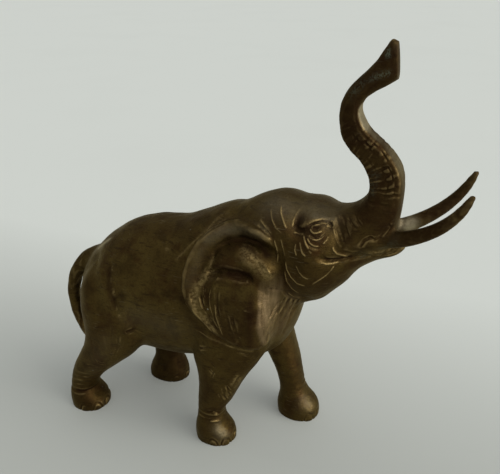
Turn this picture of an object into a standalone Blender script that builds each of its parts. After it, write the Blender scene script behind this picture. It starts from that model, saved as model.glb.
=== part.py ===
"""A cast brass figurine of a walking elephant with its trunk raised in a trumpet call.

The figure is one casting: body, head, trunk, ears, tusks, tail and legs are a single solid that stands on
four flat soles. +X points where the elephant walks, +Y to its left, +Z up, with the origin on the floor below
the middle of its box. Metres.
"""

import math

import bmesh
import bpy
import numpy as np

HEIGHT = 0.250  # floor to the tip of the raised trunk
PART = HEIGHT / 250  # the tables give the form in these parts, a millimetre each at this height
CELL = 1.3 * PART  # grid that the overlapping forms are fused on
SIDES = 28  # points round each lofted ring
FACES = 9400  # triangles of the finished solid, about
SOFTEN_ROUNDS = 9  # rounds of smoothing over the joins of the forms
SETTLE_ROUNDS = 2  # and over the carved surface
TRUNK_END = 76.6 * PART  # x of the middle of the flat end of the trunk
EAR_ROLL = 4.4  # how wide the ear's edge rounds over

# Torso, rump to chest: back line x, z; belly line x, z; half width; how square the section is.
TORSO = (
    (-117.5, 95, -118.0, 80, 7, 2.0),
    (-113.5, 103.3, -115.5, 64, 17, 2.0),
    (-106, 113, -107, 55, 24, 2.1),
    (-94, 125, -95, 50, 29, 2.2),
    (-79, 134.4, -80, 47.5, 32, 2.2),
    (-62, 139.8, -62, 46, 33.5, 2.2),
    (-44, 142.0, -44, 46.6, 34, 2.2),
    (-28, 148.8, -26, 49.2, 33.5, 2.2),
    (-12, 156.0, -8, 52, 32, 2.2),
    (2, 156.5, 8, 56, 30, 2.2),
    (16, 152, 22, 66, 26, 2.1),
    (28, 142, 29.5, 79, 20, 2.0),
    (35, 126, 34.5, 95, 11, 2.0),
)

# Head, nape to lips: top line x, z; jaw line x, z; half width; squareness.
HEAD = (
    (-18, 151, 2, 92, 20, 2.0),
    (-4, 157.6, 16, 93, 25, 2.1),
    (8, 164, 28, 97.5, 27, 2.1),
    (20, 167.8, 40, 102.8, 27.5, 2.2),
    (31, 165.4, 49, 108, 27, 2.35),
    (41, 165.6, 56, 115, 25, 2.4),
    (50, 162.4, 62, 122, 21.5, 2.4),
    (57, 160.5, 68, 130, 18.5, 2.3),
    (66, 160, 76, 135.5, 14.5, 2.1),
    (75, 157, 82, 138.6, 10.5, 2.0),
)

# Trunk, brow to tip: outer line x, z; inner line x, z; half width; squareness.
TRUNK = (
    (38, 160, 62, 128, 17, 2.1),
    (48.5, 162.5, 77, 139, 16.5, 2.2),
    (57.3, 163.8, 84, 150, 15, 2.3),
    (63.5, 167.5, 85.6, 161, 13, 2.4),
    (67.4, 172.0, 86, 171, 11.0, 3.4),
    (68.6, 178.0, 85.6, 180, 9.7, 4.6),
    (67.4, 184.0, 83.6, 188, 8.9, 5.6),
    (63.5, 190.0, 78.2, 195.5, 8.3, 6.0),
    (57.6, 195.5, 71.0, 202, 7.9, 6.0),
    (52.6, 201.5, 65.3, 207, 7.5, 5.6),
    (50.5, 209.0, 61.8, 212.5, 7.1, 4.6),
    (49.9, 216.0, 60.6, 217.0, 6.8, 3.4),
    (51.5, 223.0, 62.0, 221.7, 6.8, 2.3),
    (55.6, 229.5, 66.5, 225.5, 6.6, 2.2),
    (61.0, 235.0, 72.4, 229.2, 6.4, 2.2),
    (65.5, 240.0, 79.6, 234.6, 6.0, 2.1),
    (68.9, 245.8, 80.6, 242.0, 4.8, 2.0),
    (72.6, 251.4, 76.6, 249.8, 2.2, 2.0),
)

# Legs, floor to hip: z; rear and front x; inner and outer |y|.
FRONT_RIGHT = (
    (-7, -26.5, -1.5, 13.5, 35.5),
    (-2, -27, -1, 13, 36),
    (4, -27.5, -0.8, 12.5, 36.8),
    (9, -27.4, -2.8, 13, 36.8),
    (13, -26.6, -6.2, 14, 36),
    (18, -25.6, -7.6, 15, 35),
    (24, -25.2, -7.6, 15.5, 34.5),
    (32, -24.8, -2.8, 15, 35),
    (42, -24.4, 2.2, 14, 35.5),
    (54, -25.4, 8.0, 12, 36),
    (66, -29.5, 15.6, 9, 36),
    (80, -29, 22.0, 5, 35),
    (100, -20, 22.5, 4, 33),
    (120, -12, 18.0, 6, 29),
)
FRONT_LEFT = (
    (-7, 16, 43.5, 6, 30),
    (-2, 15.5, 43.8, 5.5, 30.5),
    (4, 14.5, 44, 5, 31),
    (9, 14.5, 42.6, 5.5, 30.5),
    (13, 15.4, 38.8, 7, 29.5),
    (18, 16.0, 34.4, 8, 28),
    (24, 15.4, 32.4, 8.5, 28),
    (32, 13.2, 30.8, 8, 29),
    (42, 8.5, 28.4, 8, 31),
    (54, 2.0, 24.8, 7, 33),
    (66, -6.0, 21.4, 5, 34),
    (80, -14, 21.0, 4, 34),
    (100, -16, 21.5, 4, 32),
    (120, -10, 17.0, 6, 28),
)
HIND_RIGHT = (
    (-7, -123, -99, 14, 38),
    (-2, -123.5, -98, 13.5, 38.5),
    (4, -124, -97.6, 13, 39),
    (9, -124, -101, 13.5, 38.5),
    (13, -123, -105.4, 15, 37.5),
    (18, -122.4, -104.0, 16, 36.5),
    (25, -121, -99.4, 16, 36.5),
    (33, -118.4, -91.5, 15, 37),
    (42, -113.6, -81, 13, 38),
    (52, -109.2, -70.0, 10, 38),
    (64, -108, -62, 7, 38),
    (78, -110.5, -60, 4, 37),
    (94, -109.5, -62, 3, 34),
    (110, -100, -68, 4, 28),
)
HIND_LEFT = (
    (-7, -88, -59.4, 11, 34),
    (-2, -88.5, -58.8, 10.5, 34.5),
    (4, -89, -58.4, 10, 35),
    (9, -87.4, -59.4, 10.5, 34.5),
    (13, -85.6, -61.4, 12, 33.5),
    (18, -83.8, -64, 13, 33),
    (25, -84.4, -63.6, 13, 33.5),
    (33, -88, -61.2, 12, 35),
    (42, -97, -58.5, 11, 36.5),
    (52, -104, -57.0, 9, 37.5),
    (64, -108, -57, 7, 38),
    (78, -110.5, -58, 4, 37),
    (94, -109.5, -61, 3, 34),
    (110, -100, -68, 4, 28),
)

# Tusk, socket to tip: x, |y|, z; half height; half thickness.
TUSK = (
    (70, 7.5, 148, 4.8, 4.4),
    (82, 8.4, 151.0, 4.7, 4.3),
    (90, 10.8, 153.8, 4.4, 4.0),
    (98, 13.2, 158.1, 4.0, 3.6),
    (105, 15.4, 163.2, 3.6, 3.3),
    (111, 17.2, 169.2, 3.2, 2.9),
    (116, 18.6, 176.3, 2.7, 2.4),
    (119.2, 19.2, 183.0, 1.9, 1.7),
    (120.2, 19.4, 185.4, 0.9, 0.8),
)

# Tail, root to the thigh that it lies against: x, y, z; half depth; half width.
TAIL = (
    (-104, 0, 106, 7, 6),
    (-114.6, 0, 102.2, 6, 5.5),
    (-123.8, -0.5, 94.6, 5.2, 5),
    (-130.2, -1, 84.5, 4.8, 4.6),
    (-133.2, -1.5, 73, 4.6, 4.4),
    (-132.2, -3, 62, 4.3, 4),
    (-127.4, -6, 52.5, 3.8, 3.6),
    (-119.4, -10, 45.5, 3.4, 3.2),
    (-110, -14, 41, 3, 3),
)

# Ear on the flank: its outline x, z, forwards from the top of its root.
EAR = (
    (22, 149.5), (15.7, 152), (7.5, 153.3), (0.3, 152.9), (-7.2, 151), (-14.6, 146.8), (-21, 140),
    (-25.8, 131.4), (-28.3, 121.7), (-28.8, 112.6), (-26.6, 103.3), (-22, 96.4), (-14.5, 90.2),
    (-5, 86.2), (4.5, 83.3), (12, 80.8), (17, 79.8), (22, 81.5), (25, 87), (25.6, 97), (25.2, 108),
    (25.6, 118), (26.6, 125), (27.6, 130), (27.8, 137), (25.5, 144),
)

# How far the ear's face stands off the flank: x, z, height.
EAR_FACE = (
    (20, 147.2, 2.0), (11, 149.4, 3.2), (0, 149, 3.7), (-8.6, 146.4, 4.9), (-16.6, 140.2, 6.0),
    (-21.6, 131, 6.4), (-24, 121.5, 6.3), (-24.8, 112.5, 5.8), (-22.6, 104.5, 5.2), (-17.5, 98, 5.0),
    (-10, 92.5, 5.5), (0, 88.8, 7.0), (8, 85.6, 7.8), (13, 85, 7.8), (13.6, 97, 8.8), (13, 109, 8.8),
    (14, 118.5, 7.6), (18.4, 86, 4.6), (19, 97, 5.6), (18.8, 108, 5.6), (19.4, 117.5, 5.2),
    (23, 97, 2.4), (22.8, 108, 2.4), (20, 140.6, -2.0), (13, 142.8, -2.0), (4, 142.6, -1.6),
    (-4.6, 140.8, -0.8), (-11, 136, 0.2), (-14.8, 129.5, 1.2), (-17.4, 121, 2.0), (-18, 112, 3.0),
    (3, 137.6, 4.4), (11, 136.6, 5.8), (17.5, 132.8, 5.9), (22.4, 127.6, 5.0), (-5.6, 133, 3.6),
    (4, 132.4, 5.6), (13, 130, 5.5), (24.4, 136, 0.3), (-9, 118, 5.6), (2, 118, 6.6), (8, 118, 7.2),
    (-10, 108, 5.0), (0, 106, 7.0), (7, 102, 8.2), (-6, 97, 6.0), (3, 94, 7.4),
)

# Carving on both flanks: height, half width, and the line x, z that it follows.
CARVING = (
    (-2.8, 1.7, ((-12, 124.5), (-4, 127.2), (4, 127.2), (12, 125.5))),  # fold below the ear's boss
    (1.7, 3.0, ((39.5, 159), (46, 160.6), (53, 159.6))),  # brow
    (-1.8, 3.6, ((41.5, 156.8), (46.5, 156.6), (51.5, 157))),  # eye socket
    (1.7, 2.2, ((45.2, 156), (48, 156))),  # eye
    (-2.2, 3.1, ((35.4, 159.4), (34.6, 156.4), (36.4, 154.2))),  # temple
    (0.3, 3.0, ((30.5, 162), (29.5, 155), (31, 148))),  # ridge behind the temple
    (2.0, 7.0, ((42, 143), (45, 135), (43, 127))),  # cheek
    (-1.5, 3.4, ((27.5, 140), (27.5, 130), (29, 121), (34, 114.5), (42, 111.5))),  # jaw's edge on the neck
    (-1.1, 1.5, ((50, 141.5), (55, 140), (60, 140.2), (66, 142), (72, 142.5))),  # mouth
    (1.4, 3.6, ((60, 148), (68, 148.6), (76, 150))),  # sheath of the tusk
    (-1.4, 3.0, ((56.5, 160), (57.5, 154), (58, 148.5))),  # where the trunk leaves the cheek
    (-1.6, 6.0, ((-98, 112), (-90, 92), (-84, 74), (-78, 62))),  # hollow before the thigh
    (-1.2, 5.0, ((-32, 100), (-29, 84), (-26, 70))),  # hollow behind the shoulder
)

# Lower lip, throat to its point: top line x, z; lower line x, z; half width; squareness.
LIP = (
    (56, 136, 60, 121, 10, 2.0),
    (68, 142.5, 70, 132, 9, 2.0),
    (78, 144.5, 79.5, 136.5, 7.5, 2.0),
    (85.5, 146.4, 86.5, 139.8, 5.6, 2.0),
    (90, 148.0, 90.3, 144, 3.4, 2.0),
)


def smooth_rows(rows, steps):
    """The rows with steps - 1 more between each two, on a Catmull-Rom curve through them."""
    keys = np.array(rows, float)
    keys = np.vstack([2 * keys[0] - keys[1], keys, 2 * keys[-1] - keys[-2]])
    out = []
    for before, start, end, after in zip(keys, keys[1:], keys[2:], keys[3:]):
        for t in np.arange(steps) / steps:
            out.append(
                start
                + 0.5 * t * (end - before)
                + t**2 * (before - 2.5 * start + 2 * end - 0.5 * after)
                + t**3 * (1.5 * (start - end) + 0.5 * (after - before))
            )
    return np.array(out + [keys[-2]])


def loft(name, centres, ups, sides, squareness):
    """A closed form through superellipse rings: each has a centre and two half axes, all in parts."""
    bm = bmesh.new()
    ring = bmesh.ops.create_circle(bm, cap_ends=True, radius=1, segments=SIDES)["verts"]
    loop = list(bm.edges)
    angles = [2 * math.pi * i / SIDES for i in range(SIDES)]
    for row, (centre, up, side, power) in enumerate(zip(centres, ups, sides, squareness)):
        if row:
            made = bmesh.ops.extrude_edge_only(bm, edges=loop)["geom"]
            fresh = {v for v in made if isinstance(v, bmesh.types.BMVert)}
            loop = [e for e in made if isinstance(e, bmesh.types.BMEdge) and fresh.issuperset(e.verts)]
            ring = [next(e.other_vert(v) for e in v.link_edges if e.other_vert(v) in fresh) for v in ring]
        for vert, angle in zip(ring, angles):
            c, s = math.cos(angle), math.sin(angle)
            across = math.copysign(abs(c) ** (2 / power), c)
            along = math.copysign(abs(s) ** (2 / power), s)
            vert.co = (centre + side * across + up * along) * PART
    bmesh.ops.contextual_create(bm, geom=loop)
    bmesh.ops.recalc_face_normals(bm, faces=bm.faces)
    mesh = bpy.data.meshes.new(name)
    bm.to_mesh(mesh)
    bm.free()
    return mesh


def keel_loft(name, rows, steps=4):
    """A form on the middle plane, from its upper and lower lines and its half width."""
    rows = smooth_rows(rows, steps)
    zero = 0 * rows[:, 0]
    top = np.column_stack([rows[:, 0], zero, rows[:, 1]])
    low = np.column_stack([rows[:, 2], zero, rows[:, 3]])
    side = np.column_stack([zero, rows[:, 4], zero])
    return loft(name, (top + low) / 2, (top - low) / 2, side, rows[:, 5])


def leg_loft(name, rows, hand, steps=4):
    """A leg from level rings; hand is -1 for the right side and 1 for the left."""
    rows = smooth_rows(rows, steps)
    zero = 0 * rows[:, 0]
    middle = (rows[:, 1] + rows[:, 2]) / 2, hand * (rows[:, 3] + rows[:, 4]) / 2, rows[:, 0]
    along = np.column_stack([(rows[:, 2] - rows[:, 1]) / 2, zero, zero])
    across = np.column_stack([zero, (rows[:, 4] - rows[:, 3]) / 2, zero])
    return loft(name, np.column_stack(middle), along, across, zero + 2.2)


def stem_loft(name, rows, hand=1, steps=4):
    """A form that follows a line in space, such as a tusk, with a half height and a half width."""
    rows = smooth_rows(rows, steps)
    path = rows[:, :3] * (1, hand, 1)
    run = np.gradient(path, axis=0)
    run /= np.linalg.norm(run, axis=1)[:, None]
    side = np.cross((0, 1, 0), run)
    side /= np.linalg.norm(side, axis=1)[:, None]
    across = np.cross(run, side)
    return loft(name, path, side * rows[:, 3:4], across * rows[:, 4:5], 0 * rows[:, 0] + 2)


def forms():
    """Every overlapping form of the figure, as meshes."""
    return [
        keel_loft("torso", TORSO),
        keel_loft("head", HEAD),
        keel_loft("trunk", TRUNK),
        keel_loft("lip", LIP),
        leg_loft("front_right", FRONT_RIGHT, -1),
        leg_loft("front_left", FRONT_LEFT, 1),
        leg_loft("hind_right", HIND_RIGHT, -1),
        leg_loft("hind_left", HIND_LEFT, 1),
        stem_loft("tusk_right", TUSK, -1),
        stem_loft("tusk_left", TUSK, 1),
        stem_loft("tail", TAIL),
    ]


def joined(meshes):
    bm = bmesh.new()
    for mesh in meshes:
        bm.from_mesh(mesh)
    whole = bpy.data.meshes.new("forms")
    bm.to_mesh(whole)
    bm.free()
    return whole


def modified(mesh, kind, **settings):
    """The mesh with one modifier of this kind applied."""
    carrier = bpy.data.objects.new("carrier", mesh)
    bpy.context.scene.collection.objects.link(carrier)
    modifier = carrier.modifiers.new(kind, kind)
    for key, value in settings.items():
        setattr(modifier, key, value)
    graph = bpy.context.evaluated_depsgraph_get()
    made = bpy.data.meshes.new_from_object(carrier.evaluated_get(graph))
    bpy.data.objects.remove(carrier)
    return made


def softened(mesh, rounds):
    """Smooths all but the tusks and tail, which it would thin, and the trunk, which it would round."""
    bm = bmesh.new()
    bm.from_mesh(mesh)
    thick = [v for v in bm.verts if -119 < v.co.x / PART < 82 and v.co.z / PART < 174]
    for _ in range(rounds):
        bmesh.ops.smooth_vert(bm, verts=thick, factor=0.5, use_axis_x=True, use_axis_y=True, use_axis_z=True)
    bm.to_mesh(mesh)
    bm.free()


def off_line(points, corners):
    """How far each point lies from the line through these corners."""
    corners = np.array(corners, float)
    nearest = np.full(len(points), np.inf)
    for start, end in zip(corners, corners[1:]):
        run = end - start
        along = np.clip((points - start) @ run / (run @ run), 0, 1)
        nearest = np.minimum(nearest, np.linalg.norm(points - start - along[:, None] * run, axis=1))
    return nearest


def inside(points, corners):
    """Whether each point lies inside the closed outline."""
    x, z = points.T
    odd = np.zeros(len(points), bool)
    for (x0, z0), (x1, z1) in zip(corners, corners[1:] + corners[:1]):
        if z0 != z1:
            odd ^= ((z0 > z) != (z1 > z)) & (x < x0 + (z - z0) * (x1 - x0) / (z1 - z0))
    return odd


def spline(knots, points):
    """Heights at the points of the thin plate bent through the knots (x, z, height)."""
    knots = np.array(knots, float)

    def bend(a, b):
        gap = np.linalg.norm(a[:, None] - b[None], axis=2) + 1e-9
        return gap**2 * np.log(gap)

    def flat(a):
        return np.column_stack([np.ones(len(a)), a])

    count = len(knots)
    system = np.zeros((count + 3, count + 3))
    system[:count, :count] = bend(knots[:, :2], knots[:, :2])
    system[:count, count:] = flat(knots[:, :2])
    system[count:, :count] = flat(knots[:, :2]).T
    weights = np.linalg.solve(system, np.append(knots[:, 2], [0, 0, 0]))
    return bend(points, knots[:, :2]) @ weights[:count] + flat(points) @ weights[count:]


def carve(mesh):
    """Raises the ears and cuts the carving, out along the surface of both flanks."""
    count = len(mesh.vertices)
    place, out = np.empty(3 * count), np.empty(3 * count)
    mesh.vertices.foreach_get("co", place)
    mesh.vertex_normals.foreach_get("vector", out)
    place, out = place.reshape(-1, 3) / PART, out.reshape(-1, 3)
    facing = np.clip(2.5 * np.sign(place[:, 1]) * out[:, 1] - 0.6, 0, 1)
    flank = place[:, [0, 2]]
    height = np.zeros(count)
    ear = inside(flank, EAR)
    edge = np.clip(off_line(flank[ear], EAR + EAR[:1]) / EAR_ROLL, 0, 1)
    height[ear] = spline(EAR_FACE, flank[ear]) * np.sqrt(edge * (2 - edge))
    for depth, width, line in CARVING:
        height += depth * np.exp(-((off_line(flank, line) / width) ** 2))
    place += out * (1, 1, 0.5) * (height * facing)[:, None]
    mesh.vertices.foreach_set("co", (place * PART).ravel())


def cut(bm, above, place, towards):
    """Cuts what lies this high flat at a plane, and closes it."""
    tips = [f for f in bm.faces if all(v.co.z > above for v in f.verts)]
    edges = {e for f in tips for e in f.edges}
    verts = {v for f in tips for v in f.verts}
    geom = [*verts, *edges, *tips]
    bmesh.ops.bisect_plane(bm, geom=geom, plane_co=place, plane_no=towards, clear_outer=True)
    bmesh.ops.holes_fill(bm, edges=[e for e in bm.edges if e.is_boundary], sides=0)


def stood(mesh):
    """Cuts the end of the trunk and the soles flat, and centres the figure over the origin."""
    bm = bmesh.new()
    bm.from_mesh(mesh)
    cut(bm, 220 * PART, (TRUNK_END, 0, 240 * PART), (1, 0, 0.1))
    cut(bm, -1, (0, 0, 0), (0, 0, -1))
    bmesh.ops.triangulate(bm, faces=bm.faces)
    for axis in range(2):
        reach = [v.co[axis] for v in bm.verts]
        for vert in bm.verts:
            vert.co[axis] -= (max(reach) + min(reach)) / 2
    bm.to_mesh(mesh)
    bm.free()


def brass():
    material = bpy.data.materials.new("brass")
    material.use_nodes = True
    shader = material.node_tree.nodes["Principled BSDF"]
    shader.inputs["Base Color"].default_value = (0.06, 0.042, 0.016, 1)
    shader.inputs["Metallic"].default_value = 0.85
    shader.inputs["Roughness"].default_value = 0.4
    return material


def main():
    for old in list(bpy.data.objects):
        bpy.data.objects.remove(old)
    mesh = modified(joined(forms()), "REMESH", mode="VOXEL", voxel_size=CELL)
    softened(mesh, SOFTEN_ROUNDS)
    carve(mesh)
    mesh = modified(mesh, "REMESH", mode="VOXEL", voxel_size=CELL)
    softened(mesh, SETTLE_ROUNDS)
    mesh = modified(mesh, "DECIMATE", ratio=FACES / (2 * len(mesh.polygons)))
    stood(mesh)
    mesh.shade_smooth()
    mesh.materials.append(brass())
    elephant = bpy.data.objects.new("elephant", mesh)
    bpy.context.scene.collection.objects.link(elephant)


main()
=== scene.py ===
"""Looks of the cast brass elephant: fine carving, old patina, and the plain studio that it stands in."""

import math

import bmesh
import bpy
import numpy as np
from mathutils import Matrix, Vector


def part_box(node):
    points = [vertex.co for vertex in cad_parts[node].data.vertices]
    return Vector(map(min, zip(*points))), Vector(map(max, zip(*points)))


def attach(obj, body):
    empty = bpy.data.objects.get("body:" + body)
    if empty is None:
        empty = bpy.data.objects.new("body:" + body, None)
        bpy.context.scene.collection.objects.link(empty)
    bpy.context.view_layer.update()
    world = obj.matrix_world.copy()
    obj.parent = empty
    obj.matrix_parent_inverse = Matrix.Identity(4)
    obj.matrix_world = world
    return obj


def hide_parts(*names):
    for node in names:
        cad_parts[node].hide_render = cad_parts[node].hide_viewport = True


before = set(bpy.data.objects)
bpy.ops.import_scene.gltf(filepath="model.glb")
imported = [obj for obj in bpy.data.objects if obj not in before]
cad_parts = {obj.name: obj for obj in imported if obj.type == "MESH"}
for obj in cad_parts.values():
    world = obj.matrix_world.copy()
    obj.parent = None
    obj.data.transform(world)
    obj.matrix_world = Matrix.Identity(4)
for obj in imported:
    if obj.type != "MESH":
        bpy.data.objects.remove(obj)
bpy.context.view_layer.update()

HEIGHT = 0.250  # floor to the tip of the raised trunk
PART = HEIGHT / 250  # the tables give the form in these parts, a millimetre each at this height
CELL = 1.3 * PART  # grid that the overlapping forms are fused on
FINE_CELL = 0.5 * PART  # and the one that carries the fine carving
SIDES = 28  # points round each lofted ring
SOFTEN_ROUNDS = 9  # rounds of smoothing over the joins of the forms
FINE_FACES = 190000  # triangles of the finished piece, about
KEPT_POINTS = 45000  # points of the fine carving that keep their full detail
TRUNK_END = 76.6 * PART  # x of the middle of the flat end of the trunk
EAR_ROLL = 4.4  # how wide the ear's edge rounds over

# Torso, rump to chest: back line x, z; belly line x, z; half width; how square the section is.
TORSO = (
    (-117.5, 95, -118, 80, 7, 2),
    (-113.5, 103.3, -115.5, 64, 17, 2),
    (-106, 113, -107, 55, 24, 2.1),
    (-94, 125, -95, 50, 29, 2.2),
    (-79, 134.4, -80, 47.5, 32, 2.2),
    (-62, 139.8, -62, 46, 33.5, 2.2),
    (-44, 142, -44, 46.6, 34, 2.2),
    (-28, 148.8, -26, 49.2, 33.5, 2.2),
    (-12, 156, -8, 52, 32, 2.2),
    (2, 156.5, 8, 56, 30, 2.2),
    (16, 152, 22, 66, 26, 2.1),
    (28, 142, 29.5, 79, 20, 2),
    (35, 126, 34.5, 95, 11, 2),
)

# Head, nape to lips: top line x, z; jaw line x, z; half width; squareness.
HEAD = (
    (-18, 151, 2, 92, 20, 2),
    (-4, 157.6, 16, 93, 25, 2.1),
    (8, 164, 28, 97.5, 27, 2.1),
    (20, 167.8, 40, 102.8, 27.5, 2.2),
    (31, 165.4, 49, 108, 27, 2.35),
    (41, 165.6, 56, 115, 25, 2.4),
    (50, 162.4, 62, 122, 21.5, 2.4),
    (57, 160.5, 68, 130, 18.5, 2.3),
    (66, 160, 76, 135.5, 14.5, 2.1),
    (75, 157, 82, 138.6, 10.5, 2),
)

# Trunk, brow to tip: outer line x, z; inner line x, z; half width; squareness.
TRUNK = (
    (38, 160, 62, 128, 17, 2.1),
    (48.5, 162.5, 77, 139, 16.5, 2.2),
    (57.3, 163.8, 84, 150, 15, 2.3),
    (63.5, 167.5, 85.6, 161, 13, 2.4),
    (67.4, 172, 86, 171, 11, 3.4),
    (68.6, 178, 85.6, 180, 9.7, 4.6),
    (67.4, 184, 83.6, 188, 8.9, 5.6),
    (63.5, 190, 78.2, 195.5, 8.3, 6),
    (57.6, 195.5, 71, 202, 7.9, 6),
    (52.6, 201.5, 65.3, 207, 7.5, 5.6),
    (50.5, 209, 61.8, 212.5, 7.1, 4.6),
    (49.9, 216, 60.6, 217, 6.8, 3.4),
    (51.5, 223, 62, 221.7, 6.8, 2.3),
    (55.6, 229.5, 66.5, 225.5, 6.6, 2.2),
    (61, 235, 72.4, 229.2, 6.4, 2.2),
    (65.5, 240, 79.6, 234.6, 6, 2.1),
    (68.9, 245.8, 80.6, 242, 4.8, 2),
    (72.6, 251.4, 76.6, 249.8, 2.2, 2),
)

# Legs, floor to hip: z; rear and front x; inner and outer |y|.
FRONT_RIGHT = (
    (-7, -26.5, -1.5, 13.5, 35.5),
    (-2, -27, -1, 13, 36),
    (4, -27.5, -0.8, 12.5, 36.8),
    (9, -27.4, -2.8, 13, 36.8),
    (13, -26.6, -6.2, 14, 36),
    (18, -25.6, -7.6, 15, 35),
    (24, -25.2, -7.6, 15.5, 34.5),
    (32, -24.8, -2.8, 15, 35),
    (42, -24.4, 2.2, 14, 35.5),
    (54, -25.4, 8, 12, 36),
    (66, -29.5, 15.6, 9, 36),
    (80, -29, 22, 5, 35),
    (100, -20, 22.5, 4, 33),
    (120, -12, 18, 6, 29),
)
FRONT_LEFT = (
    (-7, 16, 43.5, 6, 30),
    (-2, 15.5, 43.8, 5.5, 30.5),
    (4, 14.5, 44, 5, 31),
    (9, 14.5, 42.6, 5.5, 30.5),
    (13, 15.4, 38.8, 7, 29.5),
    (18, 16, 34.4, 8, 28),
    (24, 15.4, 32.4, 8.5, 28),
    (32, 13.2, 30.8, 8, 29),
    (42, 8.5, 28.4, 8, 31),
    (54, 2, 24.8, 7, 33),
    (66, -6, 21.4, 5, 34),
    (80, -14, 21, 4, 34),
    (100, -16, 21.5, 4, 32),
    (120, -10, 17, 6, 28),
)
HIND_RIGHT = (
    (-7, -123, -99, 14, 38),
    (-2, -123.5, -98, 13.5, 38.5),
    (4, -124, -97.6, 13, 39),
    (9, -124, -101, 13.5, 38.5),
    (13, -123, -105.4, 15, 37.5),
    (18, -122.4, -104, 16, 36.5),
    (25, -121, -99.4, 16, 36.5),
    (33, -118.4, -91.5, 15, 37),
    (42, -113.6, -81, 13, 38),
    (52, -109.2, -70, 10, 38),
    (64, -108, -62, 7, 38),
    (78, -110.5, -60, 4, 37),
    (94, -109.5, -62, 3, 34),
    (110, -100, -68, 4, 28),
)
HIND_LEFT = (
    (-7, -88, -59.4, 11, 34),
    (-2, -88.5, -58.8, 10.5, 34.5),
    (4, -89, -58.4, 10, 35),
    (9, -87.4, -59.4, 10.5, 34.5),
    (13, -85.6, -61.4, 12, 33.5),
    (18, -83.8, -64, 13, 33),
    (25, -84.4, -63.6, 13, 33.5),
    (33, -88, -61.2, 12, 35),
    (42, -97, -58.5, 11, 36.5),
    (52, -104, -57, 9, 37.5),
    (64, -108, -57, 7, 38),
    (78, -110.5, -58, 4, 37),
    (94, -109.5, -61, 3, 34),
    (110, -100, -68, 4, 28),
)

# Tusk, socket to tip: x, |y|, z; half height; half thickness.
TUSK = (
    (70, 7.5, 148, 4.8, 4.4),
    (82, 8.4, 151, 4.7, 4.3),
    (90, 10.8, 153.8, 4.4, 4),
    (98, 13.2, 158.1, 4, 3.6),
    (105, 15.4, 163.2, 3.6, 3.3),
    (111, 17.2, 169.2, 3.2, 2.9),
    (116, 18.6, 176.3, 2.7, 2.4),
    (119.2, 19.2, 183, 1.9, 1.7),
    (120.2, 19.4, 185.4, 0.9, 0.8),
)

# Tail, root to the thigh that it lies against: x, y, z; half depth; half width.
TAIL = (
    (-104, 0, 106, 7, 6),
    (-114.6, 0, 102.2, 6, 5.5),
    (-123.8, -0.5, 94.6, 5.2, 5),
    (-130.2, -1, 84.5, 4.8, 4.6),
    (-133.2, -1.5, 73, 4.6, 4.4),
    (-132.2, -3, 62, 4.3, 4),
    (-127.4, -6, 52.5, 3.8, 3.6),
    (-119.4, -10, 45.5, 3.4, 3.2),
    (-110, -14, 41, 3, 3),
)

# Ear on the flank: its outline x, z, forwards from the top of its root.
EAR = (
    (22, 149.5), (15.7, 152), (7.5, 153.3), (0.3, 152.9), (-7.2, 151), (-14.6, 146.8), (-21, 140),
    (-25.8, 131.4), (-28.3, 121.7), (-28.8, 112.6), (-26.6, 103.3), (-22, 96.4), (-14.5, 90.2),
    (-5, 86.2), (4.5, 83.3), (12, 80.8), (17, 79.8), (22, 81.5), (25, 87), (25.6, 97), (25.2, 108),
    (25.6, 118), (26.6, 125), (27.6, 130), (27.8, 137), (25.5, 144),
)

# How far the ear's face stands off the flank: x, z, height.
EAR_FACE = (
    (20, 147.2, 2), (11, 149.4, 3.2), (0, 149, 3.7), (-8.6, 146.4, 4.9), (-16.6, 140.2, 6),
    (-21.6, 131, 6.4), (-24, 121.5, 6.3), (-24.8, 112.5, 5.8), (-22.6, 104.5, 5.2), (-17.5, 98, 5),
    (-10, 92.5, 5.5), (0, 88.8, 7), (8, 85.6, 7.8), (13, 85, 7.8), (13.6, 97, 8.8), (13, 109, 8.8),
    (14, 118.5, 7.6), (18.4, 86, 4.6), (19, 97, 5.6), (18.8, 108, 5.6), (19.4, 117.5, 5.2),
    (23, 97, 2.4), (22.8, 108, 2.4), (20, 140.6, -2), (13, 142.8, -2), (4, 142.6, -1.6),
    (-4.6, 140.8, -0.8), (-11, 136, 0.2), (-14.8, 129.5, 1.2), (-17.4, 121, 2), (-18, 112, 3),
    (3, 137.6, 4.4), (11, 136.6, 5.8), (17.5, 132.8, 5.9), (22.4, 127.6, 5), (-5.6, 133, 3.6),
    (4, 132.4, 5.6), (13, 130, 5.5), (24.4, 136, 0.3), (-9, 118, 5.6), (2, 118, 6.6), (8, 118, 7.2),
    (-10, 108, 5), (0, 106, 7), (7, 102, 8.2), (-6, 97, 6), (3, 94, 7.4),
)

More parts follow.
